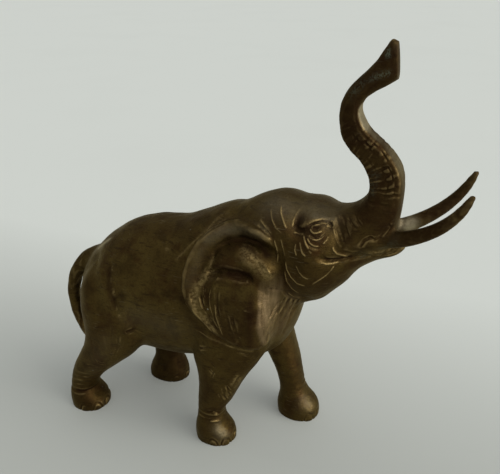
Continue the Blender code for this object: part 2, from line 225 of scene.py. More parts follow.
# Carving on both flanks: height, half width, and the line x, z that it follows.
CARVING = (
    (-2.8, 1.7, ((-12, 124.5), (-4, 127.2), (4, 127.2), (12, 125.5))),  # fold below the ear's boss
    (1.7, 3, ((39.5, 159), (46, 160.6), (53, 159.6))),  # brow
    (-1.8, 3.6, ((41.5, 156.8), (46.5, 156.6), (51.5, 157))),  # eye socket
    (1.7, 2.2, ((45.2, 156), (48, 156))),  # eye
    (-2.2, 3.1, ((35.4, 159.4), (34.6, 156.4), (36.4, 154.2))),  # temple
    (0.3, 3, ((30.5, 162), (29.5, 155), (31, 148))),  # ridge behind the temple
    (2, 7, ((42, 143), (45, 135), (43, 127))),  # cheek
    (-1.5, 3.4, ((27.5, 140), (27.5, 130), (29, 121), (34, 114.5), (42, 111.5))),  # jaw's edge on the neck
    (-1.1, 1.5, ((50, 141.5), (55, 140), (60, 140.2), (66, 142), (72, 142.5))),  # mouth
    (1.4, 3.6, ((60, 148), (68, 148.6), (76, 150))),  # sheath of the tusk
    (-1.4, 3, ((56.5, 160), (57.5, 154), (58, 148.5))),  # where the trunk leaves the cheek
    (-1.6, 6, ((-98, 112), (-90, 92), (-84, 74), (-78, 62))),  # hollow before the thigh
    (-1.2, 5, ((-32, 100), (-29, 84), (-26, 70))),  # hollow behind the shoulder
)

# Lower lip, throat to its point: top line x, z; lower line x, z; half width; squareness.
LIP = (
    (56, 136, 60, 121, 10, 2),
    (68, 142.5, 70, 132, 9, 2),
    (78, 144.5, 79.5, 136.5, 7.5, 2),
    (85.5, 146.4, 86.5, 139.8, 5.6, 2),
    (90, 148, 90.3, 144, 3.4, 2),
)

# Fine carving on both flanks: height, half width, and the line x, z that it follows.
CREASES = (
    # eye: upper lid, inner corner, ball, lower lid, upper lid's bright rim and the rings below
    (-0.8, 0.6, ((41.2, 156.5), (42.3, 157.9), (44.2, 158.9), (47.4, 159.4), (50.3, 159.2), (52.1, 157.6))),
    (-0.7, 0.6, ((51.6, 158.6), (52.6, 156.4))),
    (-0.5, 1.1, ((43.4, 156.6), (46.4, 156.4))),
    (0.3, 0.42, ((49.6, 157.4), (50.8, 156.4))),
    (0.45, 0.42, ((41.9, 155.9), (43, 154.9), (44.6, 154.3), (46.4, 154.4), (48.4, 155.3))),
    (0.35, 0.42, ((46.6, 159), (48, 158.5), (49.6, 158.1))),
    (-0.4, 0.5, ((42.8, 153), (46, 152.1), (48.4, 152.6), (50.8, 155))),
    (0.2, 0.42, ((44.3, 151.5), (47.1, 151.2), (48.8, 152.2), (50.6, 154.6))),
    (0.2, 0.42, ((41.7, 151.9), (43.4, 149.6), (46, 148.3), (48.2, 148.2))),
    (0.26, 0.42, ((50, 149.2), (51.4, 151), (51.9, 152.8))),
    (-0.3, 0.5, ((41.4, 150.4), (44.2, 148.2), (47, 147), (49.6, 147.2))),
    # crow's feet
    (0.32, 0.42, ((39.4, 152.6), (40.7, 150.4), (41.9, 148.7), (43.5, 146.7))),
    (0.32, 0.42, ((38.1, 149.8), (39.3, 146.9), (40.5, 144.6), (42.4, 143))),
    (0.29, 0.42, ((36.1, 148.6), (36.1, 145.4), (37.4, 142.5))),
    (0.2, 0.42, ((43.6, 146.2), (45.2, 144.6))),
    # temple: its thin rim and its sharp lower edge
    (0.25, 0.6, ((34.4, 164.4), (32.9, 161.4), (32.3, 158.2), (32.7, 155.4))),
    (-0.7, 1.1, ((34.4, 159.4), (34.2, 156.4), (35.2, 154.8), (37.6, 154.3), (39.8, 155))),
    (0.3, 0.5, ((33.6, 153.4), (36.4, 152.6), (39.4, 153))),
    # where the trunk's root meets the cheek
    (0.18, 0.42, ((53.3, 155.9), (54.8, 153.4), (55.8, 151.2), (57.8, 148.5), (58.8, 146.9))),
    (-0.25, 0.67, ((54.6, 156.8), (56.2, 153.6), (57.4, 151), (59.8, 147.8))),
    # mouth
    (0.35, 0.42, ((54.8, 147.9), (55.6, 145.7), (57.4, 144), (60.4, 143.2), (62.7, 142.2))),
    (-0.6, 0.7, ((51.3, 140.9), (54.7, 140.2), (58.1, 140.4), (61.3, 141), (64, 141.8))),
    (0.25, 0.6, ((49.6, 139.8), (52.6, 138.3), (55.8, 138.3), (58.6, 139.4))),
    (-0.35, 1, ((57, 145.6), (61, 144.8), (65, 143.9), (69.4, 144.4))),
    # folds of the cheek and throat
    (0.36, 0.45, ((56.6, 137.5), (55.2, 134.8), (52.9, 131.9), (50.1, 129.5), (46, 126.1))),
    (0.29, 0.45, ((37.2, 136.8), (39.1, 133.2), (41.5, 131), (44.5, 129.8))),
    (0.36, 0.45, ((31.2, 138), (32, 133.1), (34.5, 128.8), (38.1, 125.9), (42.8, 125.1))),
    (0.39, 0.45, ((30.6, 132), (31.9, 125), (34.6, 120.6), (38.8, 116.8))),
    (0.23, 0.45, ((31.4, 115.6), (34.4, 112.6), (38.4, 111.2))),
    # neck before the ear
    (0.31, 0.45, ((18.2, 162.5), (20.6, 158), (24, 154.4), (28.3, 152.2))),
    (0.31, 0.45, ((23.4, 164.4), (25.1, 160.9), (27.4, 158), (29.8, 154.8))),
    (0.34, 0.45, ((23.6, 149.2), (25.8, 144.2), (26.2, 139.2), (26.1, 134.8))),
    (0.31, 0.45, ((27.6, 150), (29.4, 145.2), (30.9, 140))),
    (0.17, 0.45, ((16.6, 154.6), (21.2, 150))),
    (-0.45, 1, ((22, 120.5), (25.8, 118), (29.4, 116.6), (32.2, 112))),
    # lines on the trunk's root
    (-0.25, 0.59, ((53.2, 161.8), (55.1, 158.7), (57.6, 154.3), (60.2, 150.2))),
    (-0.2, 0.59, ((58.5, 163), (62.1, 160), (65.9, 156.8))),
    (-0.2, 0.59, ((54.6, 162.6), (58.2, 159.9), (59.9, 156.7), (62.4, 152.3))),
    (-0.2, 0.59, ((62, 165), (65.2, 161.4), (68.6, 158.4))),
    # sheath and web of the tusk
    (-0.5, 0.67, ((68.6, 148.2), (70.3, 151.9), (73.1, 153.7), (76, 152.6))),
    (-0.3, 0.59, ((75.6, 152.6), (79.9, 157.3), (82.3, 160.8))),
    (0.3, 0.67, ((78.9, 153.6), (81.3, 157.8), (82.7, 161.9))),
    # lower lip
    (-0.3, 0.59, ((71.4, 141.6), (76.4, 141.6), (81.9, 142), (86.7, 143.8))),
    (0.3, 0.67, ((73, 144.2), (79, 144.4), (85, 145.6))),
    # ear: hollow inside its roll, boss, fold and flap
    (-0.9, 1.5, ((19.6, 141.6), (12.9, 143.9), (4.8, 143.6), (-3.2, 142), (-9.6, 138.4), (-13.4, 132.8))),
    (-0.5, 1.3, ((-14, 134), (-17, 126.5), (-19.2, 119.5), (-21.5, 113.1), (-21.2, 106))),
    (0.8, 1.4, ((6, 142.6), (12.2, 140.2), (16.8, 137.9), (21, 134.5), (24.1, 128.6))),
    (-0.4, 1, ((-10, 136.8), (-11, 133), (-12, 129))),
    (-0.95, 1.3, ((-10.6, 122.8), (-6.4, 125.2), (0, 125.6), (6, 125), (11, 125.2))),
    (0.4, 1.1, ((-22.8, 112.6), (-19.5, 117.2), (-14.5, 121.6), (-9.6, 124.2), (-2, 125.2))),
    (0.5, 1, ((-18.6, 117.3), (-22.1, 111.3), (-22.4, 105.8), (-19.6, 100.4), (-14.7, 94.6), (-8, 90.8))),
    (-0.6, 0.9, ((-16.6, 113), (-15.3, 106.6), (-12.7, 100.9), (-8.4, 95.9), (-2.2, 91.4))),
    (-0.3, 0.5, ((-14.4, 118), (-14.6, 111), (-12.6, 104), (-9, 98.6), (-4.4, 93.8))),
    (0.3, 0.45, ((-17.4, 110), (-15.4, 104.4), (-12, 99.6), (-7.6, 95))),
    (0.3, 0.45, ((-9.6, 118), (-10.6, 111), (-9.8, 104.6), (-7, 98.4))),
    (0.25, 0.45, ((-6.6, 108), (-5.8, 101), (-3, 95.4), (-0.6, 90.6))),
    (-0.5, 1.3, ((-8.8, 120.6), (-11.8, 112.4), (-12.2, 106))),
    (-0.4, 0.9, ((-4.5, 122), (-5.4, 114.4), (-5.3, 106.2), (-3.5, 99.6), (-0.4, 93.4))),
    (-0.2, 0.9, ((-0.3, 114), (0.2, 105.7), (2.5, 98.5), (6.7, 90.9))),
    (-0.3, 0.9, ((4.1, 106), (7, 96.5), (10.2, 87))),
    (-0.4, 2.4, ((13.4, 108.4), (11.4, 101), (10.6, 92.6))),
    # below the ear
    (0.22, 0.5, ((-24.6, 84), (-14.2, 82.2), (-4.1, 80.9), (4.8, 79.1), (14, 77.4))),
    (-0.4, 0.67, ((4.4, 77.3), (11.6, 75))),
    (-0.45, 0.67, ((-19.8, 72.2), (-13, 74.9))),
    # soldered seam behind the ear's root
    (0.2, 0.42, ((-18.8, 144.4), (-15.5, 149.5), (-13, 152.2), (-8.6, 154.6))),
    (-0.2, 0.5, ((-20.5, 141.8), (-16.2, 145.8), (-12.2, 148.8), (-6.5, 152.6))),
    (0.2, 0.42, ((-34.8, 127), (-28, 134.9), (-20, 143.9))),
    (0.3, 0.42, ((13.8, 156.2), (16.8, 154.3), (19.4, 153.1), (22.1, 150.8))),
    # hip
    (-0.3, 1.2, ((-80.7, 116.4), (-81.5, 110), (-81.9, 103.5))),
    (-0.5, 1.7, ((-86.4, 104.6), (-81.5, 100.1), (-79, 95.6), (-76.8, 89.5), (-73.6, 82))),
    (-0.5, 1, ((-70, 71.8), (-65.4, 73.8), (-59.4, 71.6))),
    (-0.25, 0.9, ((-75.5, 68.8), (-78.2, 57.5), (-82.1, 48.7))),
    (-0.2, 0.9, ((-71.3, 72.4), (-74.2, 59.4), (-79.9, 50))),
    (-0.25, 0.9, ((-79.5, 74.5), (-81.9, 60.9))),
    (-0.18, 0.9, ((-85.6, 68.8), (-83.1, 57))),
    (-0.15, 0.9, ((-95.6, 62.4), (-94.2, 52.8))),
)

# Striations on the throat and chest below the jaw, as the creases but on every side.
THROAT = (
    (-0.4, 0.45, ((26.5, 109.9), (24.1, 104.6), (23, 99.4))),
    (-0.4, 0.45, ((29.7, 112.2), (26.8, 105.5), (24, 98.6), (22.3, 93.4))),
    (0.2, 0.45, ((31, 112.4), (27.8, 104.6), (24.8, 97.4), (22.8, 91))),
    (-0.4, 0.45, ((32.4, 112.3), (28.6, 103.5), (25.4, 96.1), (23.1, 89.2))),
    (0.2, 0.45, ((33.4, 111.5), (29.4, 101.5), (26.2, 94))),
    (-0.4, 0.45, ((34.3, 110.6), (30.3, 99.5), (26.9, 91.8))),
    (-0.4, 0.5, ((34.5, 104), (31.2, 95.2), (28.7, 88.4), (26, 80))),
    (-0.4, 0.5, ((37.6, 111.5), (32.9, 102.6), (30.8, 93.9))),
    (-0.35, 0.5, ((24.4, 98), (22.8, 91), (21.6, 84))),
    (0.2, 0.59, ((24.1, 90.2), (22.3, 84.5))),
)

# Short cuts on the right legs: height, half width, line x, z. The left legs get them where they stand.
FRONT_CUTS = (
    (-0.3, 0.46, ((-11.8, 66), (-8.2, 62.6))),
    (-0.3, 0.46, ((-12.6, 60.7), (-9, 56.5))),
    (-0.25, 0.46, ((-9.4, 59.4), (-11.3, 54.4))),
    (0.3, 0.42, ((0.9, 50.6), (5, 59))),
    (0.3, 0.42, ((2.6, 47.6), (6.2, 55.6))),
    (-0.25, 0.46, ((-2.5, 50.4), (0, 44.4))),
    (-0.3, 0.46, ((-5.3, 45.1), (-3, 37))),
    (-0.25, 0.46, ((-7.2, 43.4), (-4.8, 35.6))),
    (0.35, 0.5, ((-13.8, 18.5), (-10.5, 18.1), (-8, 16.6), (-6.6, 14))),
    (-0.5, 0.7, ((-14.4, 25.5), (-11.1, 26.8), (-8.8, 22.1))),
    (-0.3, 0.5, ((-4.6, 48), (-3.3, 37.7))),
    (-0.3, 0.5, ((-1.5, 49.9), (-1.1, 39.7))),
)
HIND_CUTS = (
    (-0.3, 0.5, ((-93.6, 47.6), (-91.2, 44.8), (-87, 44.4))),
    (-0.22, 0.6, ((-103, 39), (-98.6, 40.6), (-93.4, 40.4), (-89.6, 41.8))),
    (-0.22, 0.6, ((-101.6, 35.4), (-97, 34.6), (-92.8, 35.4))),
)

# Rings round the legs: z, depth, half width, tilt along x, and how far round from the outside they run.
FRONT_RINGS = ((25, 0.25, 0.9, -0.12, 1.3), (21.6, 0.35, 1, -0.15, 1.8), (19.2, 0.2, 0.7, -0.1, 1.5))
HIND_RINGS = (
    (30, 0.3, 0.9, 0.1, 1.2),
    (26.5, 0.2, 0.8, 0.1, 1.2),
    (22, 0.3, 1, 0.05, 1.5),
    (15, 0.5, 1.1, -0.1, 1.8),
)

# Wrinkles across the trunk: how far along from its brow row, depth, half width.
TRUNK_RINGS = (
    (35, 0.16, 0.9), (40, 0.25, 0.8), (44.5, 0.42, 0.75), (47.6, 0.42, 0.7), (51.2, 0.48, 0.8),
    (54.8, 0.42, 0.7), (58.6, 0.46, 0.8), (62.2, 0.42, 0.7), (66, 0.38, 0.7), (70, 0.26, 0.7),
    (74.2, 0.22, 0.7), (78.4, 0.16, 0.7), (82.4, 0.1, 0.7), (86.5, 0.1, 0.7),
)

# Colour of the patina in places on both flanks, and painted shade and highlights among it: strength, half
# width, line x, z.
GRIME_AND_SHADE = (
    (1, 3.2, ((-3.2, 141.4), (4.4, 141.8), (12.2, 141.9), (19.6, 139.2))),
    (1, 2.6, ((-10.6, 123.4), (-6.4, 125.8), (0, 126.4), (6, 125.8), (11.3, 126))),
    (0.7, 1.2, ((-6, 121.4), (-1.4, 122.4), (3, 121.2))),
    (1, 2, ((-10, 128.4), (-3, 130.2), (5, 129.6), (12, 128))),
    (0.6, 3.5, ((-12, 133), (-7, 138), (2, 140.6))),
    (0.9, 2.8, ((35.4, 159), (35.2, 156.8), (37.6, 155.4), (40.4, 156.4))),
    # painted shadow along the upper lid, under the brow
    (1, 1.2, ((41.5, 157.4), (46, 159.2), (51.8, 157.8), (52.5, 156))),
    (0.7, 1.2, ((44.7, 152.9), (48, 153.4), (50, 155))),
    (0.5, 4.6, ((44.4, 153.4), (48.6, 153.4))),
    (1, 1.5, ((43.6, 156.8), (47, 156.6))),
    (1, 1.5, ((52, 141), (58, 141), (64, 142.2))),
    (0.8, 2.4, ((-12.4, 113), (-11.6, 107))),
    (0.7, 2.4, ((12.6, 106), (11, 99), (10.6, 93.6))),
    (0.9, 1.6, ((-69.4, 72.2), (-65.6, 74.2))),
    (0.85, 2.8, ((-81.6, 112), (-82, 101), (-79, 95.6), (-76.8, 89.5))),
    (0.9, 1.8, ((69.6, 150), (71, 152.4), (74, 153.4))),
    (0.7, 3, ((72, 197), (76, 193), (79, 187), (80, 180))),
    (0.6, 3, ((66, 172), (72, 170), (76, 165))),
    (1, 2.4, ((-14.4, 26), (-11, 27.6), (-8.6, 22.4), (-7.4, 17))),
    (1, 1.8, ((-113, 15.4), (-107, 14.6), (-103, 12))),
    (0.5, 1.6, ((-109.8, 27.6), (-98.5, 28))),
    (0.5, 8, ((-108, 8), (-100, 8))),
    (0.6, 3, ((-102.8, 39), (-93, 42), (-88, 46))),
    # painted shade on the jowl, which faces down
    (0.45, 6, ((34, 117), (40, 116), (50, 122), (56, 128))),
    (0.5, 8, ((6, 112), (5, 98), (8, 88))),
    (0.9, 3.6, ((15, 116), (15, 100), (15.6, 86))),
    (0.55, 6, ((57, 163), (60, 156), (63, 149))),
    (0.55, 6, ((64, 166), (68, 158), (70, 150))),
    (0.5, 3.5, ((66, 138), (78, 139), (88, 142))),
    (0.4, 3.5, ((-23, 128), (-24.5, 116), (-23, 104))),
    (0.45, 3.5, ((-30, 104), (-25, 92), (-20, 84))),
    (0.4, 5, ((-52, 60), (-36, 58), (-22, 62))),
    (0.5, 2.6, ((-2, 34), (-6, 24), (-14, 20))),
    (0.45, 2.6, ((-16, 58), (-14, 46), (-17, 34))),
)
WORN = (
    (1, 1.7, ((6.4, 140.2), (12.5, 138.2), (19, 134.2), (23.6, 129))),
    (0.6, 3.2, ((9, 137.6), (17, 133.4), (22, 129.6))),
    (0.85, 2.3, ((-9.9, 125.4), (-15.2, 121.3), (-19, 114.6), (-20.8, 108.4), (-18.6, 102), (-13.2, 96.6))),
    (1, 1.3, ((-21.7, 107.8), (-18.1, 101.4), (-12.6, 95.4), (-6.7, 91.6))),
    (0.7, 1, ((-10.6, 132), (-12.6, 128.4), (-12.2, 125.4))),
    (0.5, 0.8, ((-18.6, 144.6), (-15.5, 149.5), (-13, 152.2), (-9, 154.4))),
    (0.45, 0.6, ((-34.6, 127.2), (-28, 134.9), (-20, 143.7))),
    (0.6, 0.7, ((14, 156), (16.8, 154.3), (19.4, 153.1))),
    (0.35, 0.8, ((-14.2, 82.2), (-4.1, 80.9), (4.8, 79.1), (13.7, 77.5))),
    (0.7, 1, ((73, 144.2), (79, 144.4), (86, 145.6))),
    (0.3, 0.7, ((50.1, 139.7), (52.6, 138.3), (55.8, 138.4))),
    (0.8, 0.9, ((1.1, 51), (4.8, 58.6))),
    (0.8, 0.8, ((2.8, 48), (6, 55.2))),
    (0.8, 0.8, ((-43.4, 130.3), (-43, 130.3))),
    (0.9, 0.7, ((-80, 112.8), (-80.2, 112))),
    (0.9, 0.7, ((-80.2, 105.4), (-80, 104.8))),
    (1.2, 0.9, ((-78.4, 98.2), (-78.2, 96.6))),
    (0.9, 0.7, ((-76, 88.4), (-75.8, 87.6))),
    (0.9, 0.7, ((-74.1, 83.3), (-74, 82.8))),
    (0.9, 0.8, ((13.1, 153.3), (15, 152.4))),
    (0.9, 0.8, ((17.4, 151.9), (19.4, 150.9))),
)
PAINTED_LIGHT = (
    # painted highlight on the bulge of the near front toes, where the light from the front falls
    (0.4, 4, ((-7.6, 13.2), (-4.5, 9.5))),
    (0.1, 5, ((-9, 14), (-6, 8))),
    # faint painted light from the floor on the belly and on the front of the hind leg
    (0.08, 9, ((-64, 84), (-38, 82))),
    (0.06, 8, ((-84, 62), (-98, 36))),
    # painted sheen along the top of the ear's roll, partly its paler polished patina
    (0.22, 3.4, ((16.8, 151.2), (2.6, 149.3), (-7.6, 147.7), (-14.7, 142.5))),
    (0.08, 3, ((-14.7, 142.5), (-19.3, 134.7), (-23.4, 117.6))),
)
PALE = (
    (1, 0.7, ((70.6, 244), (71.8, 247), (72.8, 243.8), (70.8, 243.8))),
    (0.6, 1.4, ((66, 233.4), (73, 236))),
    (0.35, 1.8, ((56, 225), (61, 230.6))),
    (0.25, 1.8, ((71, 176), (71.4, 186))),
    (0.2, 2.4, ((80, 146.6), (86, 151))),
)

# The same at places in space: kind, strength, half width, line x, y, z.
SPOTS = (
    # painted highlight on the web below the trunk, which faces the light from the front
    ("cream", 1.7, 3.8, ((83, 0, 160.5), (86.5, 4.5, 156.5), (90.5, 6.5, 155.2))),
    # painted highlight on the lit underside of the trunk near its tip
    ("cream", 1.6, 2.4, ((77, 0, 247), (77.8, 0, 231))),
    ("grime", 1, 6, ((84, -10, 152), (98, -13.2, 158.1), (111, -17.2, 169.2))),
    # painted highlight on the far front toes
    ("cream", 0.25, 6, ((46, 8, 12), (40, 10, 14))),
    ("cream", 1.2, 1.3, ((-100.5, -12, 115.9), (-94.8, -14, 120.7), (-89.5, -14, 124.6))),
    ("grime", 1, 7, ((101, 13.6, 160.5), (105, 14.2, 163), (116, 17.9, 176.2))),
    ("grime", 0.6, 9, ((-118, 0, 50), (-128, 0, 80), (-122, 0, 110))),
    # painted shade over the far hind leg, which stands in shadow
    ("grime", 1, 24, ((-72, 26, 0), (-72, 26, 60))),
)
# And at places on both sides: line x, |y|, z.
PAIRED_SPOTS = (
    ("grime", 0.35, 16, ((-75, 8, 138), (-40, 8, 142))),
    ("grime", 1, 4.5, ((115, 18.4, 175), (120.2, 19.4, 185.4))),
    # painted sheen on the brow and forehead, partly their paler polished patina
    ("cream", 0.28, 4, ((43, 15, 161), (47, 15, 161), (52, 13, 160))),
    ("cream", 0.2, 9, ((18, 13, 164), (34, 14, 165), (48, 10, 162))),
    # painted shade under the jaw and throat, which face down
    ("grime", 0.6, 13, ((38, 8, 112), (56, 6, 122))),
    ("pale", 0.3, 3, ((64, 12, 146), (70, 13, 143))),
)

# Edges of the painted highlight on the chest, where it faces the light from the front, ear side and far
# side: heights z, and x there.
CHEST_FRONT = (78, 83, 89, 99, 109, 119, 124, 129, 132), (23, 21, 19.4, 18, 18.2, 17, 17.6, 20.6, 25)
CHEST_RIGHT = (88, 100, 106, 114, 125, 130), (20, 21.9, 23.1, 24.9, 27.7, 29)

CAMERA_TARGET = Vector((8.41, 0.48, 135.046)) * PART
CAMERA_BACK = Vector((0.32922, -0.84440, 0.42262))  # from the target to the camera
CAMERA_DISTANCE = 357.263 * PART
LENS = 43.2


def smooth_rows(rows, steps):
    """The rows with steps - 1 more between each two, on a Catmull-Rom curve through them."""
    keys = np.array(rows, float)
    keys = np.vstack([2 * keys[0] - keys[1], keys, 2 * keys[-1] - keys[-2]])
    out = []
    for before, start, end, after in zip(keys, keys[1:], keys[2:], keys[3:]):
        for t in np.arange(steps) / steps:
            out.append(
                start
                + 0.5 * t * (end - before)
                + t**2 * (before - 2.5 * start + 2 * end - 0.5 * after)
                + t**3 * (1.5 * (start - end) + 0.5 * (after - before))
            )
    return np.array(out + [keys[-2]])


def loft(name, centres, ups, sides, squareness):
    """A closed form through superellipse rings: each has a centre and two half axes, all in parts."""
    bm = bmesh.new()
    ring = bmesh.ops.create_circle(bm, cap_ends=True, radius=1, segments=SIDES)["verts"]
    loop = list(bm.edges)
    angles = [2 * math.pi * i / SIDES for i in range(SIDES)]
    for row, (centre, up, side, power) in enumerate(zip(centres, ups, sides, squareness)):
        if row:
            made = bmesh.ops.extrude_edge_only(bm, edges=loop)["geom"]
            fresh = {v for v in made if isinstance(v, bmesh.types.BMVert)}
            loop = [e for e in made if isinstance(e, bmesh.types.BMEdge) and fresh.issuperset(e.verts)]
            ring = [next(e.other_vert(v) for e in v.link_edges if e.other_vert(v) in fresh) for v in ring]
        for vert, angle in zip(ring, angles):
            c, s = math.cos(angle), math.sin(angle)
            across = math.copysign(abs(c) ** (2 / power), c)
            along = math.copysign(abs(s) ** (2 / power), s)
            vert.co = (centre + side * across + up * along) * PART
    bmesh.ops.contextual_create(bm, geom=loop)
    bmesh.ops.recalc_face_normals(bm, faces=bm.faces)
    mesh = bpy.data.meshes.new(name)
    bm.to_mesh(mesh)
    bm.free()
    return mesh


def keel_loft(name, rows, steps=4):
    """A form on the middle plane, from its upper and lower lines and its half width."""
    rows = smooth_rows(rows, steps)
    zero = 0 * rows[:, 0]
    top = np.column_stack([rows[:, 0], zero, rows[:, 1]])
    low = np.column_stack([rows[:, 2], zero, rows[:, 3]])
    side = np.column_stack([zero, rows[:, 4], zero])
    return loft(name, (top + low) / 2, (top - low) / 2, side, rows[:, 5])


def leg_loft(name, rows, hand, steps=4):
    """A leg from level rings; hand is -1 for the right side and 1 for the left."""
    rows = smooth_rows(rows, steps)
    zero = 0 * rows[:, 0]
    middle = (rows[:, 1] + rows[:, 2]) / 2, hand * (rows[:, 3] + rows[:, 4]) / 2, rows[:, 0]
    along = np.column_stack([(rows[:, 2] - rows[:, 1]) / 2, zero, zero])
    across = np.column_stack([zero, (rows[:, 4] - rows[:, 3]) / 2, zero])
    return loft(name, np.column_stack(middle), along, across, zero + 2.2)


def stem_loft(name, rows, hand=1, steps=4):
    """A form that follows a line in space, such as a tusk, with a half height and a half width."""
    rows = smooth_rows(rows, steps)
    path = rows[:, :3] * (1, hand, 1)
    run = np.gradient(path, axis=0)
    run /= np.linalg.norm(run, axis=1)[:, None]
    side = np.cross((0, 1, 0), run)
    side /= np.linalg.norm(side, axis=1)[:, None]
    across = np.cross(run, side)
    return loft(name, path, side * rows[:, 3:4], across * rows[:, 4:5], 0 * rows[:, 0] + 2)


def forms():
    """Every overlapping form of the figure, as meshes."""
    return [
        keel_loft("torso", TORSO),
        keel_loft("head", HEAD),
        keel_loft("trunk", TRUNK),
        keel_loft("lip", LIP),
        leg_loft("front_right", FRONT_RIGHT, -1),
        leg_loft("front_left", FRONT_LEFT, 1),
        leg_loft("hind_right", HIND_RIGHT, -1),
        leg_loft("hind_left", HIND_LEFT, 1),
        stem_loft("tusk_right", TUSK, -1),
        stem_loft("tusk_left", TUSK, 1),
        stem_loft("tail", TAIL),
    ]


def joined(meshes):
    bm = bmesh.new()
    for mesh in meshes:
        bm.from_mesh(mesh)
    whole = bpy.data.meshes.new("forms")
    bm.to_mesh(whole)
    bm.free()
    return whole


def modified(mesh, kind, kept=(), **settings):
    """The mesh with one modifier of this kind applied; the kept points are its group of that name."""
    carrier = bpy.data.objects.new("carrier", mesh)
    bpy.context.scene.collection.objects.link(carrier)
    carrier.vertex_groups.new(name="kept").add(list(kept), 1.0, "REPLACE")
    modifier = carrier.modifiers.new(kind, kind)
    for key, value in settings.items():
        setattr(modifier, key, value)
    graph = bpy.context.evaluated_depsgraph_get()
    made = bpy.data.meshes.new_from_object(carrier.evaluated_get(graph))
    bpy.data.objects.remove(carrier)
    return made


def softened(mesh, rounds):
    """Smooths all but the tusks and tail, which it would thin, and the trunk, which it would round."""
    bm = bmesh.new()
    bm.from_mesh(mesh)
    thick = [v for v in bm.verts if -119 < v.co.x / PART < 82 and v.co.z / PART < 174]
    for _ in range(rounds):
        bmesh.ops.smooth_vert(bm, verts=thick, factor=0.5, use_axis_x=True, use_axis_y=True, use_axis_z=True)
    bm.to_mesh(mesh)
    bm.free()


def near_line(points, corners):
    """How far each point lies from the line through these corners, and how far along it, 0 to 1."""
    corners = np.array(corners, float)
    lengths = np.linalg.norm(np.diff(corners, axis=0), axis=1)
    nearest = np.full(len(points), np.inf)
    share = np.zeros(len(points))
    before = 0.0
    for start, end, length in zip(corners, corners[1:], lengths):
        run = end - start
        along = unit((points - start) @ run / (run @ run))
        away = np.linalg.norm(points - start - along[:, None] * run, axis=1)
        closer = away < nearest
        nearest[closer] = away[closer]
        share[closer] = (before + along[closer] * length) / lengths.sum()
        before += length
    return nearest, share


def unit(values):
    """The values, none below 0 or above 1."""
    return np.clip(values, 0, 1)


def bell(away):
    """1 on a line, fading to nothing two widths off it."""
    return np.exp(-(away**2))


def off_line(points, corners):
    return near_line(points, corners)[0]


def inside(points, corners):
    """Whether each point lies inside the closed outline."""
    x, z = points.T
    odd = np.zeros(len(points), bool)
    for (x0, z0), (x1, z1) in zip(corners, corners[1:] + corners[:1]):
        if z0 != z1:
            odd ^= ((z0 > z) != (z1 > z)) & (x < x0 + (z - z0) * (x1 - x0) / (z1 - z0))
    return odd


def spline(knots, points):
    """Heights at the points of the thin plate bent through the knots (x, z, height)."""
    knots = np.array(knots, float)

    def bend(a, b):
        gap = np.linalg.norm(a[:, None] - b[None], axis=2) + 1e-9
        return gap**2 * np.log(gap)

    def flat(a):
        return np.column_stack([np.ones(len(a)), a])

    count = len(knots)
    system = np.zeros((count + 3, count + 3))
    system[:count, :count] = bend(knots[:, :2], knots[:, :2])
    system[:count, count:] = flat(knots[:, :2])
    system[count:, :count] = flat(knots[:, :2]).T
    weights = np.linalg.solve(system, np.append(knots[:, 2], [0, 0, 0]))
    return bend(points, knots[:, :2]) @ weights[:count] + flat(points) @ weights[count:]


def surface(mesh):
    """Places in parts and outward directions of the mesh's points."""
    count = len(mesh.vertices)
    place, out = np.empty(3 * count), np.empty(3 * count)
    mesh.vertices.foreach_get("co", place)
    mesh.vertex_normals.foreach_get("vector", out)
    return place.reshape(-1, 3) / PART, out.reshape(-1, 3)


def raised(mesh, place, out, height):
    mesh.vertices.foreach_set("co", ((place + out * height[:, None]) * PART).ravel())
    mesh.update()


def facing(place, out):
    """How much each point faces out to the side, 0 to 1."""
    return unit(2.5 * np.sign(place[:, 1]) * out[:, 1] - 0.6)


def carve(mesh):
    """Raises the ears and cuts the main carving, as in the cast solid."""
    place, out = surface(mesh)
    flank = place[:, [0, 2]]
    height = np.zeros(len(place))
    ear = inside(flank, EAR)
    edge = unit(off_line(flank[ear], EAR + EAR[:1]) / EAR_ROLL)
    height[ear] = spline(EAR_FACE, flank[ear]) * np.sqrt(edge * (2 - edge))
    for depth, width, line in CARVING:
        height += depth * bell(off_line(flank, line) / width)
    raised(mesh, place, out * (1, 1, 0.5), height * facing(place, out))


def strokes(flank, cuts):
    """Height of cuts and ridges along lines that fade at both ends, and a painted glint along each: on a
    ridge's crest, and on the lower rear lip of a cut, which faces the light from the front.
    """
    total, painted_glint = np.zeros((2, len(flank)))
    for height, width, line in cuts:
        low, high = np.min(line, axis=0) - 4 * width, np.max(line, axis=0) + 4 * width
        close = np.flatnonzero(np.all((flank > low) & (flank < high), axis=1))
        spots = flank[close]
        away, share = near_line(spots, line)
        fade = unit(share * (1 - share) * 9) ** 0.7
        middle = bell(away / width)
        shoulder = bell((away - 2 * width) / (0.9 * width))
        unsure = 1 + 0.3 * np.sin(0.55 * spots @ (0.8, 0.6) + 1.5 * np.sin(0.4 * spots @ (-0.5, 0.9)))
        total[close] += height * (middle - 0.12 * shoulder) * fade * unsure
        # painted glint: on the crest of a ridge, and for a cut on its lower rear lip, the wall that faces
        # the light from the front
        lip = away if height > 0 else off_line(spots + (0.8 * width, 0.3 * width), line)
        strength = min(1, abs(height) / 0.3) * unit(2.2 - 2 * width)
        painted_glint[close] = np.maximum(painted_glint[close], bell(lip / (0.7 * width)) * fade * strength)
    return total, painted_glint


